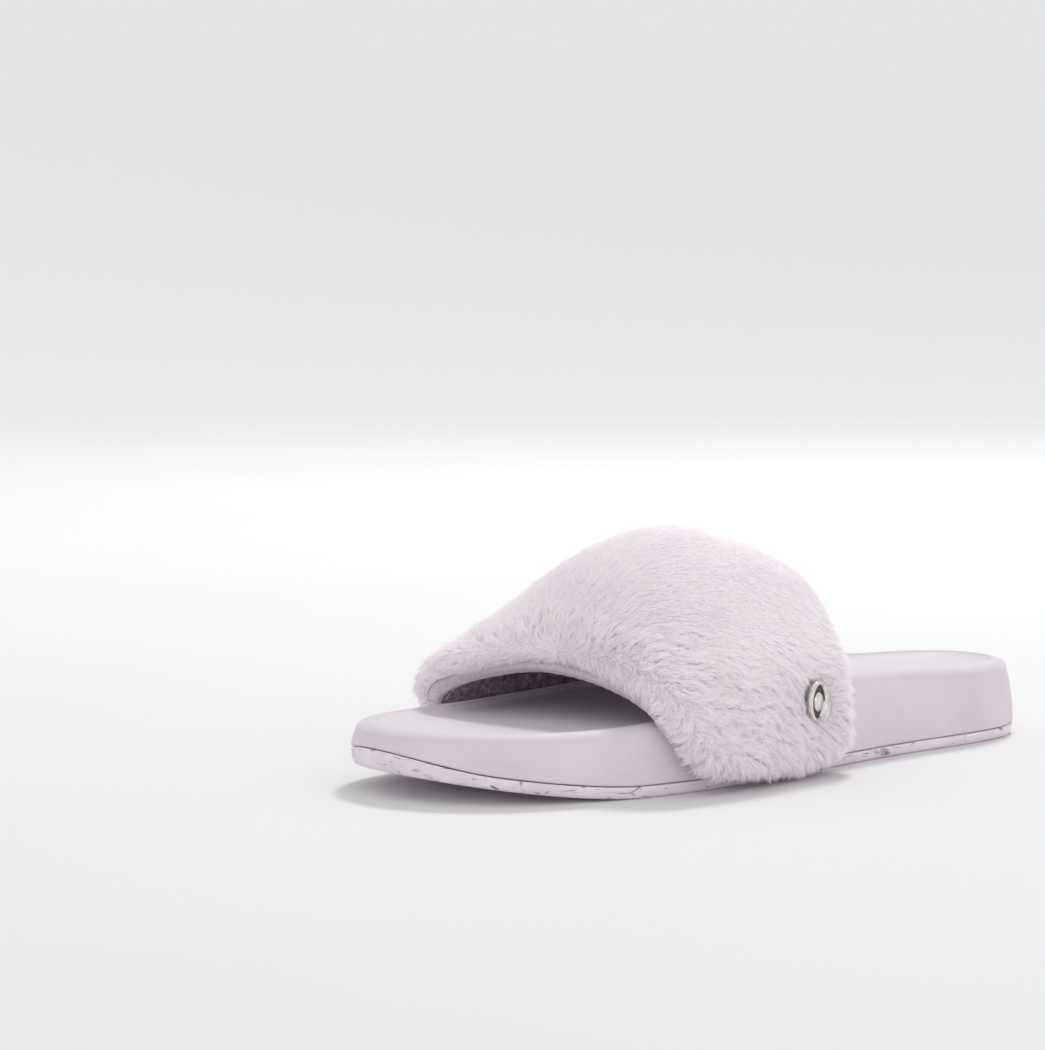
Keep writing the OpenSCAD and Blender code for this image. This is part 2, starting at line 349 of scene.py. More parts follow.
class Nodes:
    """A material's node tree, with short calls for the nodes used here."""

    def __init__(self, name):
        self.material = bpy.data.materials.new(name)
        self.material.use_nodes = True
        self.tree = self.material.node_tree
        self.shader = next(n for n in self.tree.nodes if n.type == "BSDF_PRINCIPLED")

    def add(self, kind, inputs=(), **settings):
        node = self.tree.nodes.new(kind)
        for key, value in settings.items():
            setattr(node, key, value)
        for key, value in dict(inputs).items():
            if isinstance(value, bpy.types.NodeSocket):
                self.tree.links.new(value, node.inputs[key])
            else:
                node.inputs[key].default_value = value
        return node

    def coordinates(self, scale=(1, 1, 1)):
        """Object coordinates, stretched."""
        co = self.add("ShaderNodeTexCoord").outputs["Object"]
        return self.add("ShaderNodeMapping", {"Vector": co, "Scale": scale}).outputs[0]

    def noise(self, size_mm, detail, stretch=(1, 1, 1), rough=0.55):
        scale = 1 / (size_mm * MM)
        return self.add("ShaderNodeTexNoise", {"Vector": self.coordinates(stretch), "Scale": scale,
                                               "Detail": detail, "Roughness": rough}).outputs["Fac"]

    def cells(self, size_mm, stretch=(1, 1, 1), feature="F1"):
        scale = 1 / (size_mm * MM)
        return self.add("ShaderNodeTexVoronoi", {"Vector": self.coordinates(stretch), "Scale": scale},
                        feature=feature).outputs["Distance"]

    def threads(self, width_mm, direction, distortion, detail_scale):
        """Parallel bands that wander a little, one to a thread."""
        return self.add("ShaderNodeTexWave", {
            "Vector": self.coordinates(), "Scale": 1 / (width_mm * MM) / 6.28 * 2,
            "Distortion": distortion, "Detail": 2.0, "Detail Scale": detail_scale},
            bands_direction=direction).outputs["Fac"]

    def math(self, operation, a, b):
        return self.add("ShaderNodeMath", {0: a, 1: b}, operation=operation).outputs[0]

    def between(self, value, low, high, to_low=0.0, to_high=1.0):
        return self.add("ShaderNodeMapRange", {"Value": value, "From Min": low, "From Max": high,
                                               "To Min": to_low, "To Max": to_high}).outputs[0]

    def ramp(self, value, *stops):
        node = self.add("ShaderNodeValToRGB", {"Fac": value})
        element = node.color_ramp.elements
        while len(element) < len(stops):
            element.new(0.5)
        for e, (position, colour) in zip(element, stops):
            e.position = position
            e.color = (*colour, 1)
        return node.outputs["Color"]

    def blend(self, factor, a, b):
        def colour(c):
            return c if isinstance(c, bpy.types.NodeSocket) else (*c, 1)
        node = self.add("ShaderNodeMix", {0: factor, 6: colour(a), 7: colour(b)},
                        data_type="RGBA")
        return node.outputs[2]

    def bump(self, height, distance_mm, strength, under=None):
        inputs = {"Height": height, "Distance": distance_mm * MM, "Strength": strength}
        if under is not None:
            inputs["Normal"] = under
        return self.add("ShaderNodeBump", inputs).outputs[0]

    def finish(self, colour, roughness, normal=None, **uniform):
        """Links colour, roughness and normal; values that are the same all over stay on the shader."""
        for key, value in {"Base Color": colour, "Roughness": roughness, "Normal": normal}.items():
            if isinstance(value, bpy.types.NodeSocket):
                self.tree.links.new(value, self.shader.inputs[key])
            elif value is not None:
                self.shader.inputs[key].default_value = value
        for key, value in uniform.items():
            self.shader.inputs[key.replace("_", " ")].default_value = value
        return self.material


def srgb(r, g, b):
    """A colour from 0 to 255 display values, as linear light."""
    return tuple((c / 255 / 12.92) if c <= 10 else ((c / 255 + 0.055) / 1.055) ** 2.4 for c in (r, g, b))


LILAC_WALL = srgb(217, 206, 215)
LILAC_PALE = srgb(226, 216, 224)
# Painted shade for the faces that look up, to hold down their stronger light from above
LILAC_TOP_PAINTED_SHADE = srgb(209, 202, 209)
FLECK = srgb(120, 100, 118)
FLECK_PALE = srgb(176, 158, 175)
PILE_TIP = srgb(253, 250, 252)
PILE_MIDDLE = srgb(252, 249, 251)
PILE_ROOT = srgb(251, 244, 249)


def foam_material(name, low, high, grain_mm=0.5, painted_top_shade=None):
    """Moulded foam: a fine pebbled skin, faint mottling and slightly scuffed shine. The faces that look
    up can be a little deeper in tone, a painted shade that holds down their stronger light from above."""
    n = Nodes(name)
    mottle = n.noise(34, 3)
    colour = n.blend(n.between(mottle, 0.35, 0.65), low, high)
    if painted_top_shade:
        # Painted shade: faces that look up blend towards a deeper colour
        facing = n.add("ShaderNodeNewGeometry").outputs["Normal"]
        up = n.add("ShaderNodeSeparateXYZ", {"Vector": facing}).outputs["Z"]
        colour = n.blend(n.between(up, 0.35, 0.98), colour, painted_top_shade)
    speck = n.between(n.noise(0.9, 2), 0.70, 0.78)
    colour = n.blend(n.math("MULTIPLY", speck, 0.10), colour, FLECK_PALE)
    grain = n.noise(grain_mm, 2)
    dents = n.noise(7, 2)
    normal = n.bump(grain, 0.05, 0.35, n.bump(dents, 0.25, 0.25))
    rough = n.between(n.noise(12, 4), 0.3, 0.7, 0.50, 0.64)
    return n.finish(colour, rough, normal, Specular_IOR_Level=0.35)


def outsole_material():
    """Lilac compound with darker marbled flakes and short strokes pressed into it."""
    n = Nodes("outsole_compound")
    base = n.blend(n.between(n.noise(14, 4), 0.35, 0.65), srgb(231, 221, 229), srgb(242, 233, 240))
    warp = n.noise(4, 2)
    flakes = n.add("ShaderNodeTexVoronoi", {
        "Vector": n.coordinates((0.55, 0.35, 1.25)), "Scale": 1 / (5.5 * MM), "Randomness": 1.0},
        feature="F1")
    flake = n.math("MULTIPLY", n.between(flakes.outputs["Distance"], 0.20, 0.15),
                   n.between(warp, 0.47, 0.53))
    strokes = n.add("ShaderNodeTexNoise", {
        "Vector": n.coordinates((0.30, 0.22, 1.7)), "Scale": 1 / (2.2 * MM), "Detail": 2.0,
        "Distortion": 1.4}).outputs["Fac"]
    stroke = n.between(strokes, 0.655, 0.69)
    vein = n.between(n.cells(9, (0.5, 0.4, 1.4), "DISTANCE_TO_EDGE"), 0.030, 0.010)
    vein = n.math("MULTIPLY", vein, n.between(n.noise(9, 2), 0.52, 0.60))
    mark = n.math("MAXIMUM", n.math("MAXIMUM", flake, stroke), vein)
    colour = n.blend(n.math("MULTIPLY", mark, 0.85), base,
                     n.blend(n.between(n.noise(3, 1), 0.4, 0.6), FLECK, FLECK_PALE))
    grain = n.noise(0.35, 3)
    normal = n.bump(grain, 0.08, 0.6, n.bump(mark, -0.12, 0.5))
    rough = n.between(grain, 0.3, 0.7, 0.62, 0.80)
    return n.finish(colour, rough, normal, Specular_IOR_Level=0.3)


def cloth_material(name, low, high, thread_mm=0.45, nap=0.25, sheen=0.3, curl_and_shade=0.0):
    """A fine heathered cloth: crossed threads and a short nap. With `curl_and_shade` the nap bunches into
    small tufts, with painted shade darkening the hollows between them."""
    n = Nodes(name)
    warp = n.threads(thread_mm, "Y", 2.0, 1.5)
    weft = n.threads(thread_mm, "DIAGONAL", 2.0, 1.5)
    weave = n.math("MULTIPLY", warp, weft)
    heather = n.noise(0.8, 4, rough=0.7)
    colour = n.blend(n.between(heather, 0.38, 0.62), low, high)
    dark = tuple(c * 0.35 for c in low)
    speck = n.between(n.noise(0.7, 2), 0.66, 0.74)
    colour = n.blend(n.math("MULTIPLY", speck, 0.55), colour, dark)
    height = n.math("ADD", weave, n.math("MULTIPLY", n.noise(0.3, 3), nap * 4))
    normal = n.bump(height, 0.12, 0.7)
    if curl_and_shade:
        tufts = n.noise(2.6, 3, rough=0.6)
        hollow_shade = n.between(tufts, 0.60, 0.40)
        # Painted shade: the hollows between the tufts are darkened
        colour = n.blend(n.math("MULTIPLY", hollow_shade, curl_and_shade), colour, dark)
        normal = n.bump(tufts, 0.9, 0.9, normal)
    rough = n.between(heather, 0.3, 0.7, 0.82, 0.95)
    return n.finish(colour, rough, normal, Sheen_Weight=sheen, Sheen_Roughness=0.5,
                    Specular_IOR_Level=0.15)


def pile_material():
    """Strands shaded along their length. The map's u is a strand's own tone, v runs root to tip."""
    n = Nodes("pile_strands")
    uv = n.add("ShaderNodeUVMap", uv_map="OFBake").outputs["UV"]
    part = n.add("ShaderNodeSeparateXYZ", {"Vector": uv})
    tone, length = part.outputs["X"], part.outputs["Y"]
    light = n.ramp(length, (0.0, PILE_ROOT), (0.38, PILE_MIDDLE), (1.0, PILE_TIP))
    # The deep ramp carries the random deeper tones and the painted shade low on the strap
    deep = n.ramp(length, (0.0, srgb(240, 225, 234)), (0.45, srgb(249, 239, 245)),
                  (1.0, srgb(252, 246, 250)))
    colour = n.blend(tone, deep, light)
    return n.finish(colour, 0.85, Sheen_Weight=0.4, Sheen_Roughness=0.4, Specular_IOR_Level=0.1)


def pile_base_material():
    n = Nodes("pile_depth")
    colour = n.blend(n.between(n.noise(3, 4, rough=0.7), 0.35, 0.65), srgb(251, 245, 249), PILE_MIDDLE)
    normal = n.bump(n.noise(0.6, 4, rough=0.7), 0.4, 1.0)
    rough = n.between(n.noise(1, 2), 0.3, 0.7, 0.85, 0.95)
    return n.finish(colour, rough, normal, Sheen_Weight=0.3, Sheen_Roughness=0.4,
                    Specular_IOR_Level=0.1)


def padding_material():
    n = Nodes("open_cell_foam")
    cell = n.cells(0.9)
    colour = n.blend(n.between(cell, 0.1, 0.6), srgb(196, 192, 190), srgb(236, 234, 230))
    normal = n.bump(cell, 0.3, 0.8)
    rough = n.between(cell, 0.0, 0.8, 0.9, 0.8)
    return n.finish(colour, rough, normal, Specular_IOR_Level=0.1)


def thread_material():
    n = Nodes("spun_thread")
    twist = n.threads(0.5, "DIAGONAL", 0.6, 1.0)
    colour = n.blend(twist, srgb(178, 168, 178), srgb(214, 206, 213))
    return n.finish(colour, n.between(twist, 0, 1, 0.55, 0.75), n.bump(twist, 0.08, 0.8),
                    Sheen_Weight=0.2)


def metal_material(name, colour, low_rough, high_rough, grain=(1, 1, 1)):
    n = Nodes(name)
    streak = n.noise(0.8, 3, grain)
    dull = tuple(c * 0.86 for c in colour)
    tint = n.blend(n.between(n.noise(2.5, 2), 0.35, 0.65), colour, dull)
    rough = n.between(streak, 0.3, 0.7, low_rough, high_rough)
    return n.finish(tint, rough, n.bump(streak, 0.01, 0.25), Metallic=1.0)


def floor_material():
    """Pale paper, a little lighter towards the wall."""
    n = Nodes("studio_floor")
    part = n.add("ShaderNodeVectorMath", {0: n.coordinates()}, operation="LENGTH").outputs["Value"]
    mottle = n.blend(n.between(n.noise(400, 2), 0.3, 0.7), srgb(223, 223, 224), srgb(226, 226, 226))
    colour = n.blend(n.between(part, 0.6, 2.8), mottle, srgb(250, 250, 250))
    return n.finish(colour, n.between(n.noise(60, 2), 0.3, 0.7, 0.78, 0.84), Specular_IOR_Level=0.1)


WALL_FOAM = foam_material("midsole_foam", LILAC_WALL, LILAC_PALE, painted_top_shade=LILAC_TOP_PAINTED_SHADE)
TOP_FOAM = foam_material("footbed_skin", LILAC_WALL, LILAC_PALE, painted_top_shade=LILAC_TOP_PAINTED_SHADE)
INNER_FOAM = foam_material("footbed_foam", srgb(224, 219, 224), srgb(236, 233, 236), 0.9)
COMPOUND = outsole_material()
LINING = cloth_material("napped_lining", srgb(134, 116, 129), srgb(196, 179, 192), 0.5, 0.5, 0.15, 0.6)
TAPE = cloth_material("binding_tape", srgb(196, 186, 195), srgb(222, 212, 221), 0.42, 0.25, 0.3)
KNIT = cloth_material("backing_knit", srgb(170, 156, 168), srgb(190, 177, 188), 0.7, 0.2, 0.2)
PADDING = padding_material()
THREAD = thread_material()
PILE = pile_material()
PILE_BASE = pile_base_material()
NICKEL = metal_material("polished_nickel", (0.83, 0.81, 0.77), 0.10, 0.20)
OXIDE = metal_material("oxidised_nickel", (0.10, 0.09, 0.085), 0.35, 0.50)
PLATE = metal_material("plain_steel", (0.58, 0.58, 0.58), 0.30, 0.45, (1, 8, 1))


# -------------------- sole

OUTSOLE_SIDES = 900
MIDSOLE_SIDES = 540
SOLE_COLUMNS = 72


def edge_nicks(p):
    """Small chips along the outsole's cut edge."""
    n = layered_noise(p, 5.0, 3)
    return 0.30 * np.maximum(0, n - 0.25) + 0.05 * n


def build_outsole():
    # Each ring: how far in from the edge, its level, and its height above that level
    profile = [(3.0, 0, 0.00), (1.8, 0, 0.03), (1.2, 0, 0.25), (0.8, 0, 0.60), (0.45, 0.30, 0.0),
               (0.20, 0.50, 0.0), (0.05, 0.70, 0.0), (0.0, 0.84, 0.0), (0.10, 1, -0.42),
               (0.30, 1, -0.22), (0.75, 1, -0.20), (2.6, 1, -0.20), (2.9, 1, -SEAM_GAP)]
    loops = []
    for distance, level, dz in profile:
        p = ring(OUTSOLE_SIDES, distance, level, dz)
        if level < 0.8 and distance < 1.5:
            chip = edge_nicks(p)
            p[:, :2] = inset(ring_angles(OUTSOLE_SIDES), distance + chip)
        loops.append(p)

    def tread(p, share):
        """Wavy grooves across the sole, 1.3 mm deep, that stop short of its edge."""
        pitch, width, depth, sway, bend = 9.0, 1.15, 1.3, 2.6, 6.2
        wave = p[..., 1] + sway * np.cos(p[..., 0] / bend)
        off = np.abs(np.mod(wave / pitch, 1) - 0.5) * pitch
        half_w = np.abs(p[:, :1, 0] - p[:, -1:, 0]) / 2 + 0.5
        from_side = (0.5 - np.abs(share - 0.5)) * 2 * half_w
        ends = ease((130 - np.abs(p[..., 1])) / 3 + 0.2)
        cut = ease((width - off) / 0.7 + 0.5) * ease((from_side - 5.5) / 1.2) * ends
        return at_height(p, floor_z(p[..., 1]) + depth * cut)

    def bed(p, share):
        return at_height(p, parting_z(p[..., 1]) - SEAM_GAP)

    obj = loft("outsole_tread", loops, COMPOUND, SOLE_COLUMNS, tread, bed)
    place(obj, "outsole_rubber", "outsole")


def lasted(p):
    """1 where the strap's turned-in margin lies under the midsole."""
    side = p[..., 0] > 0
    u = np.where(side, -1.0, 3.0)
    return ease((p[..., 1] - front_y(u)) / 2 + 1) * ease((rear_y(u) - p[..., 1]) / 2 + 1)


def build_midsole():
    lift = LASTING_T + SEAM_GAP
    # As for the outsole, and last 1 where the ring rises over the strap's turned-in margin
    rows = [(LASTING_W + 0.6, 1, 0, 0), (LASTING_W + 0.2, 1, 0, 1), (3.0, 1, 0, 1),
            (2.7, 1, 0.20, 1), (0.75, 1, 0.20, 1), (0.28, 1, 0.25, 1), (0.08, 1, 0.46, 1),
            (0.0, 1, 0.8, 1)]
    loops = []
    for distance, level, dz, pocket in rows:
        p = ring(MIDSOLE_SIDES, distance, level, dz)
        p[:, 2] += pocket * lift * lasted(p)
        loops.append(p)
    # The wall leans in and then rounds over; the round is flatter where the wall is low
    angle = ring_angles(MIDSOLE_SIDES)
    y = outline(angle)[:, 1]
    wall_h = rim_z(y) - parting_z(y)
    round_h = np.minimum(3.4, 0.5 * wall_h)
    top_f = 1 - round_h / wall_h
    top_in = WALL_LEAN * top_f ** 2
    for t in np.linspace(0, 1, 10):
        f = mix(1.2 / wall_h, top_f, t)
        p = inset(angle, WALL_LEAN * f * f)
        loops.append(np.column_stack([p, mix(parting_z(p[:, 1]), rim_z(p[:, 1]), f)]))
    for turn in np.radians(np.linspace(7, 90, 12)):
        p = inset(angle, mix(top_in, 6.9, 1 - math.cos(turn)))
        loops.append(np.column_stack([p, rim_z(p[:, 1]) - round_h * (1 - math.sin(turn))]))
    for distance, flat, sunk in ((RIM_W - 0.65, 0.02, 0.04), (RIM_W - 0.3, 0.06, 0.18),
                                 (RIM_W, 0.12, 0.42)):
        loops.append(sunk_ring(distance, -flat, sunk))
    loops.append(ring(MIDSOLE_SIDES, RIM_W + 0.04, 2, -FOOTBED_POCKET))

    def pocket_floor(p, share):
        return at_height(p, rim_z(p[..., 1]) - FOOTBED_POCKET)

    obj = loft("midsole_shell", loops, WALL_FOAM, 24, keep, pocket_floor)
    place(obj, "midsole_foam", "midsole")


def hollow(y):
    """How fully the footbed's hollow is formed: the toe end runs out flat."""
    s = along(y)
    return ease((s - 0.05) / 0.17) * (0.45 + 0.55 * ease((1.0 - s) / 0.08))


def sunk_ring(distance, dz, sunk):
    """A ring at rim height plus dz, sunk further by `sunk` where the hollow is fully formed."""
    p = ring(MIDSOLE_SIDES, distance, 2, dz)
    p[:, 2] -= sunk * hollow(p[:, 1])
    return p


def dish(p, share):
    """How far the hollow's floor dips below its shoulder: a heel cup and a shallow ball hollow,
    with the arch side a little higher."""
    s = along(p[..., 1])
    end = (RIM_W + SHOULDER) / SOLE_L
    bowl = 1 - np.abs(2 * share - 1) ** 2.2
    bowl = bowl * ease((s - end) / 0.10) * ease((1 - end - s) / 0.10)
    heel = ease((s - 0.62) / 0.2)
    ball = ease((s - 0.05) / 0.2) * ease((0.6 - s) / 0.25)
    arch = ease((s - 0.38) / 0.12) * ease((0.72 - s) / 0.12) * ease((share - 0.5) / 0.5)
    return bowl * (0.15 + 0.75 * heel + 0.45 * ball) - 0.3 * arch * bowl


def shoulder_drop(distance_in):
    """How far the hollow's shoulder has dropped, where it is fully formed."""
    full = 1 - math.exp(-SHOULDER / HOLLOW_FALL)
    return HOLLOW_D * (1 - np.exp(-distance_in / HOLLOW_FALL)) / full


def build_footbed():
    edge = RIM_W + LIP_GAP
    floor = -FOOTBED_POCKET + SEAM_GAP

    def surface(height):
        def lift(p, share):
            sunk = (LIP_DEPTH + shoulder_drop(SHOULDER)) * hollow(p[..., 1])
            return at_height(p, rim_z(p[..., 1]) - LIP_DROP - height - sunk - dish(p, share))
        return lift

    def skin_rows(height, spots):
        return [sunk_ring(edge + d, -LIP_DROP - height, LIP_DEPTH + shoulder_drop(d)) for d in spots]

    spots = [0.0, 0.35, 0.8, 1.4, 2.1, 3.0, 4.2, 5.6, SHOULDER]
    foam_top = skin_rows(COVER_T, spots)
    foam_side = [ring(MIDSOLE_SIDES, edge + d, 2, floor + z) for d, z in ((0.5, 0), (0.1, 0.3), (0, 1))]
    foam = loft("footbed_foam_pad", foam_side + foam_top, INNER_FOAM, 40, keep, surface(COVER_T))
    place(foam, "footbed_foam", "footbed")
    cover = loft("footbed_top_skin", foam_top[::-1] + skin_rows(0.0, spots), TOP_FOAM, 60,
                 surface(COVER_T), surface(0.0))
    place(cover, "footbed_skin", "footbed_cover")


# -------------------- strap cloth

ARCH_STATIONS = 200
SKIRT_STATIONS = 16


def stations():
    up = np.linspace(-SKIRT_END, 0, SKIRT_STATIONS, endpoint=False)
    return np.concatenate([up, np.linspace(0, 2, ARCH_STATIONS), 2 - up[::-1]])


def strap_layer(name, low, high, material, steps=80):
    u = stations()[:, None]
    v0, v1 = front_v(u, BINDING_W), rear_v(u, BINDING_W)
    s = np.linspace(0, 1, steps + 1)[None]
    v = mix(v0, v1, s)
    top = strap_point(u, v, high)
    under = strap_point(u, v, low)
    return loft(name, np.concatenate([top, under[:, ::-1]], 1), material)


def rounded_section(depth, thickness, radius):
    """A tape's section: square at its inner edge and round at the folded edge."""
    corner_points = 5
    turn = np.linspace(0, np.pi / 2, corner_points)
    upper = [(radius - radius * math.cos(t), thickness - radius + radius * math.sin(t)) for t in turn]
    middle = [(radius + (depth - radius) * f, thickness) for f in (0.33, 0.66, 1.0)]
    lower = [(d, thickness - h) for d, h in (upper + middle)][::-1]
    return upper + middle + lower


def build_binding(name, node, edge_v, turned):
    """A tape folded round one edge of the strap. It puckers slightly at an even pitch."""
    u = stations()[:, None]
    section = np.array(rounded_section(BINDING_W, CLOTH_T, 1.5))
    if turned:
        section = section[::-1]
    step = np.linalg.norm(around(u, 1.0 if turned else 0.0), axis=-1)
    run = np.cumsum(np.gradient(u[:, 0]) * step[:, 0])[:, None]
    pitch, uneven = 4.6, 7
    pucker = 0.10 * np.cos(run / pitch * 2 * np.pi) + 0.12 * noise(run / uneven, 3.0, 0.0)
    depth = section[None, :, 0] + pucker * (1 - section[None, :, 0] / BINDING_W)
    v = edge_v(u, depth)
    obj = loft(name, strap_point(u, v, section[None, :, 1]), TAPE)
    place(obj, "binding_tape", node)


def build_stitches(name, node, edge_v):
    """Short threads with sunk ends along the inside of the strap, as one piece."""
    count, length, inset_mm, radius = 30, 3.2, 4.5, 0.3
    sides, rings_each = 8, 7
    points, faces = [], []
    turn = np.linspace(0, 2 * np.pi, sides, endpoint=False)
    for i in range(1, count):
        u = np.array([2 * i / count])
        half = length / 2 / np.linalg.norm(around(u, 0.5), axis=-1)
        along_thread = np.linspace(-1, 1, rings_each)[:, None]
        shape = np.sqrt(np.maximum(0.05, 1 - along_thread ** 6))
        thread_u = u + along_thread * half
        depth = inset_mm + radius * shape * np.cos(turn)
        height = -radius * 0.9 + radius * shape * np.sin(turn) + 0.5 * radius * np.abs(along_thread) ** 3
        loops = strap_point(thread_u, edge_v(thread_u, depth), height)
        start = len(points) * sides * rings_each
        points.append(loops.reshape(-1, 3))
        faces += closed_faces(rings_each, sides, start)
    obj = new_object(name, np.vstack(points), faces, THREAD)
    place(obj, "thread", node)


def build_lasting(name, node, side):
    """The strap's lower margin, turned in under the midsole."""
    u = -1.0 if side > 0 else 3.0
    y = np.linspace(front_y(u) + 1, rear_y(u) - 1, 60)[::side]
    angle = np.degrees(np.arccos(-2 * y / SOLE_L))
    angle = angle if side > 0 else 360 - angle
    outer = -(WALL_GAP + CLOTH_T)
    section = [(outer + 0.5, 0.0), (LASTING_W * 0.5, 0.0), (LASTING_W, 0.1), (LASTING_W, LASTING_T - 0.1),
               (LASTING_W * 0.5, LASTING_T), (outer + 0.5, LASTING_T), (outer, 0.8), (outer, 0.3)]
    loops = []
    for distance, height in section:
        p = inset(angle, distance)
        loops.append(np.column_stack([p, parting_z(p[:, 1]) + SEAM_GAP / 2 + height]))
    obj = loft(name, np.stack(loops, 1), KNIT)
    place(obj, "backing_knit", node)


def build_strap():
    lining = strap_layer("lining_cloth", 0.0, LINING_T, LINING)
    place(lining, "lining_cloth", "strap_lining")
    foam = strap_layer("strap_foam", LINING_T, LINING_T + PADDING_T, PADDING, 40)
    place(foam, "padding_foam", "strap_padding")
    knit = strap_layer("pile_backing", LINING_T + PADDING_T, CLOTH_T, KNIT, 40)
    place(knit, "backing_knit", "strap_backing")
    build_binding("front_edge_tape", "front_binding", front_v, False)
    build_binding("rear_edge_tape", "rear_binding", rear_v, True)
    build_stitches("front_stitches", "front_stitching", front_v)
    build_stitches("rear_stitches", "rear_stitching", rear_v)
    build_lasting("outer_turned_margin", "lateral_lasting", 1)
    build_lasting("inner_turned_margin", "medial_lasting", -1)


# -------------------- badge

def badge_frame():
    """The badge's foot on the strap's backing, the way it faces, and its other two axes."""
    foot = strap_point(np.array([BADGE_U]), np.array([BADGE_V]), np.array([CLOTH_T]))[0]
    turn = math.radians(BADGE_TURN)
    face = np.array([math.cos(turn), math.sin(turn), 0.0])
    side = np.array([-math.sin(turn), math.cos(turn), 0.0])
    return foot, face, side, np.array([0.0, 0.0, 1.0])


def lathe(profile, foot, face, side, up, sides):
    """Points of a turned shape: each profile entry is (radius, height along `face`)."""
    turn = np.linspace(0, 2 * np.pi, sides, endpoint=False)
    radial = side[None] * np.cos(turn)[:, None] + up[None] * np.sin(turn)[:, None]
    return np.array([foot + face * h + radial * r for r, h in profile])


def build_badge():
    """A round disc with a bold rounded rim, a sunk ground and a plain domed centre."""
    foot, face, side, up = badge_frame()
    r, t = BADGE_D / 2, BADGE_T
    base = BADGE_STAND
    profile = [(0.4, base), (r - 0.9, base), (r - 0.3, base + 0.15), (r - 0.05, base + 0.5),
               (r, base + 1.0), (r - 0.06, base + t + 0.05), (r - 0.3, base + t + 0.4),
               (r - 0.75, base + t + BADGE_RIM), (r - 1.2, base + t + 0.52), (r - 1.6, base + t + 0.2),
               (r - 1.8, base + t - 0.35), (r - 1.95, base + t - 0.55)]
    ground = r - 2.1
    sunk = [len(profile) - 2]
    floor = base + t - 0.62
    profile += [(ground, floor), (ground * 0.74, floor), (ground * 0.68, base + t - 0.55),
                (ground * 0.62, base + t - 0.30), (ground * 0.58, base + t + 0.05)]
    sunk.append(len(profile) - 2)
    dome = ground * 0.54
    profile += [(dome * math.cos(a), base + t + 0.12 + 0.45 * math.sin(a))
                for a in np.radians(np.linspace(0, 86, 9))]
    loops = lathe(profile, foot, face, side, up, BADGE_SIDES)
    size = loops.shape[1]
    points = [loops.reshape(-1, 3)]
    faces = closed_faces(len(loops), size)
    start = loops.size // 3
    for s in (-1, 1):
        at = foot + up * s * POST_SPACING / 2
        ends = [(POST_R, -BACKING_T - PADDING_T), (POST_R, base + 0.2)]
        post = lathe(ends, at, face, side, up, POST_SIDES)
        points.append(post.reshape(-1, 3))
        faces += closed_faces(2, POST_SIDES, start)
        start += 2 * POST_SIDES
    obj = new_object("round_badge", np.vstack(points), faces, NICKEL)
    obj.data.materials.append(OXIDE)
    for band in range(*sunk):
        for k in range(band * size, (band + 1) * size):
            obj.data.polygons[k].material_index = 1
    place(obj, "badge_metal", "badge")
    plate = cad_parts["badge_backing_plate"]
    plate.data.materials.clear()
    plate.data.materials.append(PLATE)


# -------------------- pile

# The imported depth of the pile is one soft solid. Two coats of strands grow out of it: a short,
# dense undercoat and longer, sparser guard hairs. Within BADGE_CLEAR of the badge's axis the pile
# thins out, shortens and lies away from the badge.
PACKED_T = 4.9
PILE_ROUND, PILE_END_ROUND = 6.0, 5.0
PILE_FRONT_IN, PILE_REAR_OUT = 2.6, 0.6
PILE_ARCH_STATIONS, PILE_SKIRT_STATIONS, PILE_STEPS = 220, 34, 132
STRAND_SIDES = 3
STRAND_FLATNESS = 0.5
CLUMPS = 4200
BADGE_CLEAR = 9.0
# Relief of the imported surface, as heights and widths: tufts, curls on them and fuzz everywhere
TUFT_H, CURL_H, FUZZ_H = 1.10, 0.25, 0.10
TUFT_W, CURL_W, FUZZ_W = 11, 4, 3
COATS = {
    "undercoat": dict(pieces=10, each=19400, rings=2, length=3.3, stand=0.62, radius=0.110, wild=0.22),
    "guard_hairs": dict(pieces=5, each=12400, rings=3, length=5.0, stand=0.50, radius=0.100, wild=0.16),
}


def badge_radius(p):
    """Distance of points from the badge's axis; points on the strap's far side count as far off."""
    foot, face = badge_frame()[:2]
    away = p - foot
    depth = away @ face
    beyond = np.maximum(0, -depth - 25)
    return np.linalg.norm(away - depth[..., None] * face, axis=-1) + beyond


def round_edge(distance, radius):
    """A quarter-round rise from 0 at an edge to 1 a radius in."""
    d = np.clip(distance / radius, 0, 1)
    return np.sqrt(1 - (1 - d) ** 2)


def ruffle(p, from_front):
    """0 where the pile lies smooth, near the crest, to 1 where it is tufted, low on the sides and
    along the front edge."""
    low = 1 - ease((p[..., 2] - 16) / 36)
    front = 0.75 * (1 - ease(from_front / 20))
    patch = 0.5 + 0.5 * layered_noise(p, 24, 2)
    return np.clip(np.maximum(low, front) * (0.35 + 0.95 * patch) + 0.04, 0.03, 1)


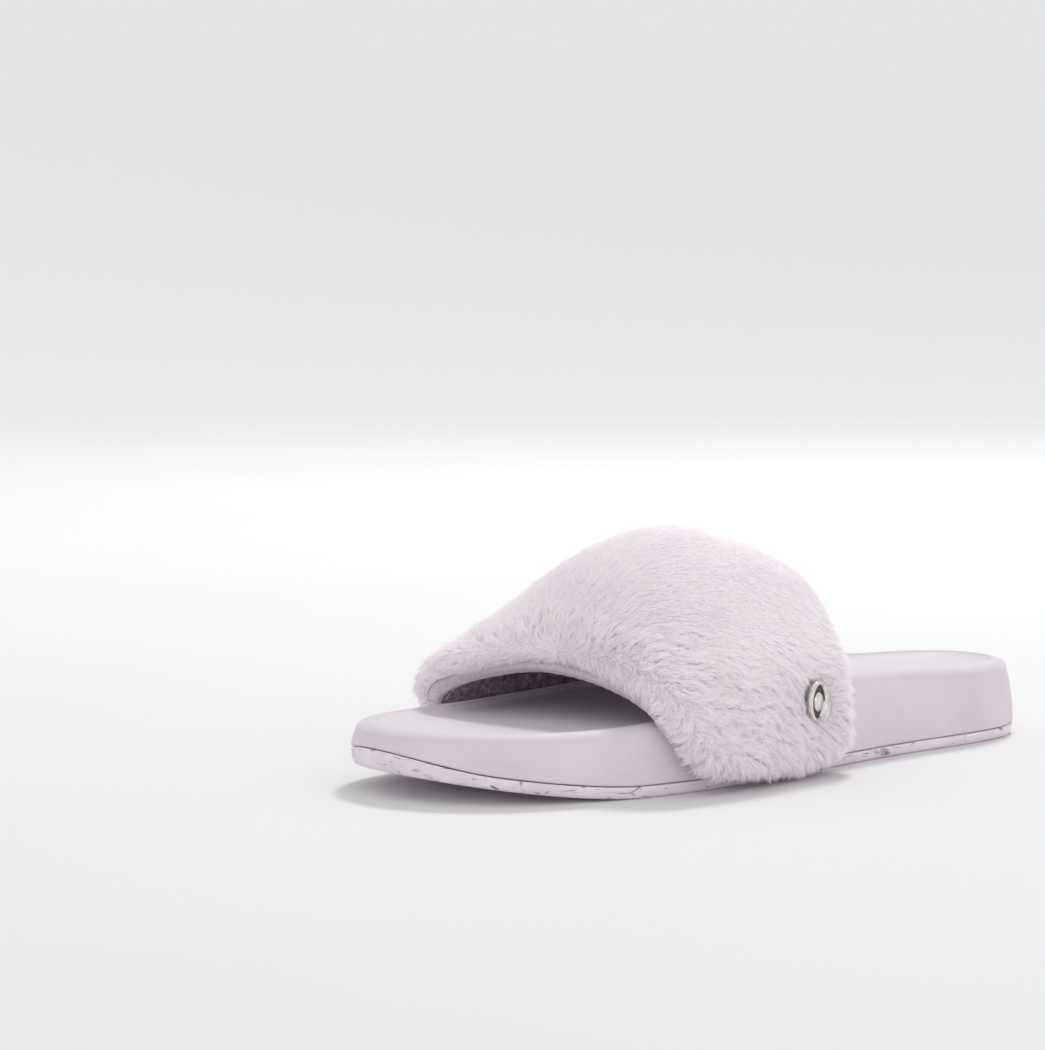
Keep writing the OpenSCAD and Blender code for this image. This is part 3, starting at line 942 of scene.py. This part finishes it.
def pile_field():
    """The pile's packed surface on a grid: points, normals, and what the strands need there."""
    arch = np.linspace(0, 2, PILE_ARCH_STATIONS)
    share = np.linspace(0, 1, PILE_SKIRT_STATIONS + 1)[1:]
    s = np.linspace(0, 1, PILE_STEPS)
    s = mix(s, (1 - np.cos(np.pi * s)) / 2, 0.6)[None]
    hang = 0.10 * ease((s - 0.05) / 0.40) * ease((1.0 - s) / 0.25) - 0.07
    down = (SKIRT_END + hang) * (1 - (1 - share) ** 1.4)[:, None]
    arch = np.broadcast_to(arch[:, None], (PILE_ARCH_STATIONS, PILE_STEPS))
    u = np.concatenate([-down[::-1], arch, 2 + down])
    inside = ease((u - 1.05) / 0.55)
    lower = 1 - ease(u / 0.9)
    v0 = front_v(u, PILE_FRONT_IN - 2.3 * inside - 1.7 * lower)
    v1 = rear_v(u, -PILE_REAR_OUT + 4.2 * fold(u) ** 4)
    v = mix(v0, v1, s)
    back, round_ = across(u, v), around(u, v)
    normal = sum(skin_normal(u + d, v) for d in (-0.12, -0.06, 0, 0.06, 0.12))
    normal = unit(normal)
    under = skin(u, v) + (WALL_GAP + CLOTH_T) * normal
    from_front = (v - v0) * np.linalg.norm(back, axis=-1)
    from_rear = (v1 - v) * np.linalg.norm(back, axis=-1)
    from_end = (SKIRT_END + hang - fold(u)) * np.linalg.norm(round_, axis=-1)
    from_end = np.where(fold(u) > 0, from_end, 99.0)
    rough = ruffle(under, from_front)
    fullness = (round_edge(from_front, PILE_ROUND * (1 - 0.35 * inside))
                * round_edge(from_rear, PILE_END_ROUND) * round_edge(from_end, PILE_END_ROUND))
    inner = inside * np.exp(-(from_front / 12) ** 2)
    relief = rough * (TUFT_H * layered_noise(under, TUFT_W, 2)
                      + CURL_H * layered_noise(under + 50, CURL_W, 2))
    relief = relief + FUZZ_H * layered_noise(under, FUZZ_W, 2)
    dimple = 1 - 0.82 * np.exp(-(badge_radius(under) / BADGE_CLEAR) ** 2)
    height = np.maximum(0.25, (PACKED_T + 1.5 * inner + relief) * fullness * dimple)
    bulge = np.sin(np.pi * np.clip(from_front / PILE_ROUND, 0, 1)) ** 0.8
    top = under + normal * height[..., None] - unit(back) * (bulge * (0.9 + 0.1 * inner))[..., None]
    du, ds = np.gradient(top, axis=0), np.gradient(top, axis=1)
    shade = unit(np.cross(ds, du))
    return dict(u=u, s=np.broadcast_to(s, u.shape), under=under, up=normal, inner=inner, lower=lower,
                top=top, normal=shade, rough=rough, back=unit(back), round=unit(round_),
                from_front=from_front, from_rear=from_rear, from_end=from_end)


def build_pile_base(field):
    """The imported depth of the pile, under the loose tips."""
    loops = np.concatenate([field["top"], field["under"][:, ::-1]], 1)
    place(loft("pile_depth", loops, PILE_BASE), "pile", "fur_pile")


def scatter(field, count, rng):
    """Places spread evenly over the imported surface: every value of the field at each one."""
    top = field["top"]
    du, ds = top[1:, :-1] - top[:-1, :-1], top[:-1, 1:] - top[:-1, :-1]
    area = np.linalg.norm(np.cross(du, ds), axis=-1)
    pick = rng.choice(area.size, count, p=(area / area.sum()).ravel())
    i, j = np.unravel_index(pick, area.shape)
    f, g = rng.random((2, count))
    sample = {}
    for key, grid in field.items():
        a, b = (f, g) if grid.ndim == 2 else (f[:, None], g[:, None])
        near = mix(grid[i, j], grid[i + 1, j], a)
        far = mix(grid[i, j + 1], grid[i + 1, j + 1], a)
        sample[key] = mix(near, far, b)
    return sample


def in_surface(v, normal):
    """The part of each vector that lies along the surface."""
    return v - normal * (v * normal).sum(-1, keepdims=True)


def nearest(points, centres):
    tree = kdtree.KDTree(len(centres))
    for i, c in enumerate(centres):
        tree.insert(c, i)
    tree.balance()
    return np.array([tree.find(p)[1] for p in points])


def brushed_way(at):
    """The way the pile lies: down each side and back, over every edge, and away from the badge."""
    u, root = at["u"], at["top"]
    back, round_ = at["back"], at["round"]
    down_side = np.where((u > 0.9)[:, None], round_, -round_)
    crest = np.exp(-((u - 0.95) / 0.35) ** 2)[:, None]
    swirl = np.stack([layered_noise(root, 20, 2), layered_noise(root + 90, 20, 2)], -1)
    lay = down_side * (0.70 * (1 - crest) + 0.1) + back * 0.75
    lay = lay + (round_ * swirl[:, :1] + back * swirl[:, 1:]) * (0.45 + 0.75 * at["rough"][:, None])
    front = (1 - ease(at["from_front"] / 9))[:, None]
    rear = (1 - ease(at["from_rear"] / 5))[:, None]
    bottom = (1 - ease(at["from_end"] / 7))[:, None]
    lower = at["lower"][:, None]
    over_edge = down_side * 0.35 - back * mix(0.5, 1.2, lower) + at["up"] * mix(0.15, -0.6, lower)
    lay = lay * (1 - front) + over_edge * front
    lay = lay + (back - at["up"]) * rear
    lay = lay * (1 - 0.6 * bottom) + np.array([0, 0, -1.0]) * bottom
    foot, face = badge_frame()[:2]
    away = root - foot
    away = unit(away - (away @ face)[:, None] * face)
    near = np.exp(-(badge_radius(root) / BADGE_CLEAR) ** 4)[:, None]
    lay = lay * (1 - near) + away * near * 1.6
    return unit(in_surface(lay, at["normal"])), bottom


def grow_coat(name, coat, field, clumps, seed):
    rng = np.random.default_rng(seed)
    count = coat["pieces"] * coat["each"]
    at = scatter(field, count, rng)
    root, normal = at["top"], at["normal"]
    lay, bottom = brushed_way(at)
    rough = at["rough"]
    wide = rough[:, None]

    # Strands of a clump lean together and draw in towards its tip
    clump = nearest(root, clumps["at"])
    back, round_ = at["back"], at["round"]
    lean = clumps["lean"][clump] * (0.06 + 0.52 * wide)
    wild = rng.normal(0, coat["wild"], (count, 3)) * (0.6 + 0.5 * wide)
    heading = lay + round_ * lean[:, :1] + back * lean[:, 1:] + wild
    heading = unit(in_surface(heading, normal))
    gather = (0.04 + 0.34 * rough) * np.clip(rng.normal(1, 0.3, count), 0, 1.3)
    to_tip = in_surface((clumps["at"][clump] - root) * gather[:, None], normal)

    length = coat["length"] * (1 + 0.16 * rough * clumps["tall"][clump]) * rng.normal(1, 0.10, count)
    length = length * np.clip(badge_radius(root) / BADGE_CLEAR, 0.45, 1)
    length = length * (0.80 + 0.20 * ease(rough * 3))
    edge = 1 - ease(at["from_front"] / 7)
    length = length * (1 - edge * (0.50 - 0.38 * at["inner"] - 0.25 * at["lower"]))
    stand = (coat["stand"] - 0.16 * (1 - ease(rough * 2)) + 0.10 * rough * clumps["stand"][clump]
             + rng.normal(0, 0.07, count))
    stand = np.clip(stand, 0.12, 0.95)[:, None]
    size = length[:, None]
    slide = size * np.sqrt(1 - stand ** 2)
    path = []
    for t in np.linspace(0, 1, coat["rings"] + 1):
        point = root + normal * (size * stand * (1 - (1 - t) ** 1.7) - 0.3 * (1 - t))
        point = point + heading * slide * (0.45 * t + 0.55 * t * t) + to_tip * t ** 1.1
        point[:, 2:] -= 0.8 * bottom * t * t
        path.append(point)
    path = np.stack(path, 1)
    path[..., 2] = np.maximum(path[..., 2], 0.4 + 0.5 * rng.random(count)[:, None])

    # A strand's tone: varied at random and by place, and deeper where the pile is tufted. The height term
    # is painted shade, deepening the tone towards the bottom of the strap.
    tone = (0.95 + 0.20 * layered_noise(root, 20, 2) + 0.10 * layered_noise(root, 5, 2)
            - 0.16 * rough - 0.50 * (1 - ease(root[:, 2] / 45))
            + 0.10 * rough * clumps["tall"][clump] + rng.normal(0, 0.07, count))
    tone = np.clip(tone, 0.03, 0.97)
    clear = badge_radius(root) > BADGE_D / 2 - 0.6
    order = np.argsort(at["u"] + 0.35 * at["s"], kind="stable")
    order = order[clear[order]]
    for i, members in enumerate(np.array_split(order, coat["pieces"])):
        strands_object(f"{name}_{i + 1:02d}", path[members], normal[members], tone[members],
                       coat["radius"], rng)


def strand_faces(rings, sides):
    """Corners of one strand: quads round its length, a pointed tip and a closed foot."""
    tip = rings * sides
    quads = wall_faces(rings, sides)
    last = tip - sides
    tris = [[last + i, last + (i + 1) % sides, tip] for i in range(sides)]
    tris.append(list(range(sides))[::-1])
    return np.array(quads), np.array(tris)


def strands_object(name, path, normal, tone, radius, rng):
    """Closed three-sided strands that taper to a point, as one piece. One flat side faces out."""
    n, rings = len(path), path.shape[1] - 1
    sides = STRAND_SIDES
    direction = unit(path[:, 1:] - path[:, :-1])
    side = unit(np.cross(normal[:, None], direction) + 1e-6)
    other = np.cross(direction, side) * STRAND_FLATNESS
    taper = radius * (1 - 0.55 * np.linspace(0, 1, rings + 1)[:-1] ** 1.5)
    width = taper[None] * rng.uniform(0.75, 1.25, (n, 1))
    turn = rng.normal(0, 0.35, (n, 1)) + np.radians([30, 150, 270])[None]
    spoke = (side[:, :, None] * np.cos(turn)[:, None, :, None]
             + other[:, :, None] * np.sin(turn)[:, None, :, None])
    rim = path[:, :rings, None] + spoke * width[:, :, None, None]
    verts = np.concatenate([rim.reshape(n, rings * sides, 3), path[:, -1:]], 1)

    per = rings * sides + 1
    quads, tris = strand_faces(rings, sides)
    offset = (np.arange(n) * per)[:, None]
    corners = np.concatenate([quads.ravel()[None] + offset, tris.ravel()[None] + offset], 1)
    sizes = np.tile([4] * len(quads) + [3] * len(tris), n)
    mesh = bpy.data.meshes.new(name)
    mesh.vertices.add(n * per)
    mesh.vertices.foreach_set("co", (verts * MM).astype(np.float32).ravel())
    mesh.loops.add(corners.size)
    mesh.loops.foreach_set("vertex_index", corners.astype(np.int32).ravel())
    mesh.polygons.add(len(sizes))
    mesh.polygons.foreach_set("loop_start", (np.cumsum(sizes) - sizes).astype(np.int32))
    mesh.update(calc_edges=True)
    mesh.shade_flat()

    ramp = np.append(np.repeat(np.arange(rings) / rings, sides), 1.0)
    step = np.append(np.tile(np.arange(sides), rings), 1.0) - 1
    map_u = np.clip(tone[:, None] + 0.02 * step[None], 0.002, 0.998)
    map_v = np.broadcast_to(0.01 + 0.98 * ramp, (n, per))
    uv = np.stack([map_u, map_v], -1).reshape(-1, 2)[corners.ravel()]
    layer = mesh.uv_layers.new(name="OFBake")
    layer.data.foreach_set("uv", uv.astype(np.float32).ravel())
    mesh.materials.append(PILE)
    obj = add_object(name, mesh)
    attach(obj, "root")


def build_pile():
    field = pile_field()
    build_pile_base(field)
    rng = np.random.default_rng(5)
    clumps = dict(at=scatter(field, CLUMPS, rng)["top"], lean=rng.normal(0, 0.75, (CLUMPS, 2)),
                  tall=rng.normal(0, 1, CLUMPS), stand=rng.normal(0, 1, CLUMPS))
    for seed, (name, coat) in enumerate(COATS.items(), start=7):
        grow_coat(name, coat, field, clumps, seed)


# -------------------- studio, in metres and degrees

SKY_STRENGTH = 0.81
CAMERA_AT = (0.7846, -0.6861, 0.1665)
CAMERA_TURN, CAMERA_PITCH, CAMERA_LENS = 52.44, 4.707, 104.955


def build_studio():
    """A pale floor that curves up into a wall all round, far outside every view's camera."""
    flat, bend = 2.6, 1.6
    profile = [(0.02, 0.0), (0.3, 0.0), (1.0, 0.0), (flat - 0.4, 0.0)]
    profile += [(flat + bend * math.sin(a), bend - bend * math.cos(a))
                for a in np.radians(np.linspace(0, 80, 20))]
    sides = 128
    turn = np.linspace(0, 2 * np.pi, sides, endpoint=False)
    points = [(r * math.cos(a) / MM, r * math.sin(a) / MM, z / MM) for r, z in profile for a in turn]
    faces = wall_faces(len(profile), sides)
    faces.append(list(range(sides))[::-1])
    floor = new_object("studio_floor", points, [f[::-1] for f in faces], floor_material())


def area_light(name, at, towards, size, watts):
    light = bpy.data.lights.new(name, "AREA")
    light.shape = "DISK"
    light.size = size
    light.energy = watts
    obj = add_object(name, light)
    obj.location = at
    obj.rotation_euler = (Vector(towards) - Vector(at)).to_track_quat("-Z", "Y").to_euler()


def build_lights():
    world = bpy.data.worlds.new("studio_air")
    world.use_nodes = True
    sky = next(n for n in world.node_tree.nodes if n.type == "BACKGROUND")
    sky.inputs["Color"].default_value = (1.0, 1.0, 1.0, 1)
    sky.inputs["Strength"].default_value = SKY_STRENGTH
    bpy.context.scene.world = world
    area_light("overhead", (-0.65, 1.0, 1.7), (0.0, 0.0, 0.0), 0.42, 19)
    area_light("side", (1.7, 0.0, 0.8), (0.0, 0.0, 0.03), 1.2, 2)


def build_camera():
    """The photograph's viewpoint: 52 degrees round from the toe and 0.17 m above the floor."""
    camera = bpy.data.cameras.new("camera")
    camera.sensor_width = 36
    camera.lens = CAMERA_LENS
    camera.clip_start, camera.clip_end = 0.05, 20
    obj = add_object("camera", camera)
    obj.location = CAMERA_AT
    obj.rotation_euler = (math.pi / 2 - math.radians(CAMERA_PITCH), 0, math.radians(CAMERA_TURN))
    bpy.context.scene.camera = obj
    bpy.context.scene.view_settings.view_transform = "Standard"
    # Light passes between pale fibres many times before it leaves the pile
    bpy.context.scene.cycles.diffuse_bounces = 16
    bpy.context.scene.cycles.max_bounces = 20


build_camera()
build_studio()
build_lights()
build_outsole()
build_midsole()
build_footbed()
build_strap()
build_badge()
build_pile()

bpy.context.view_layer.update()
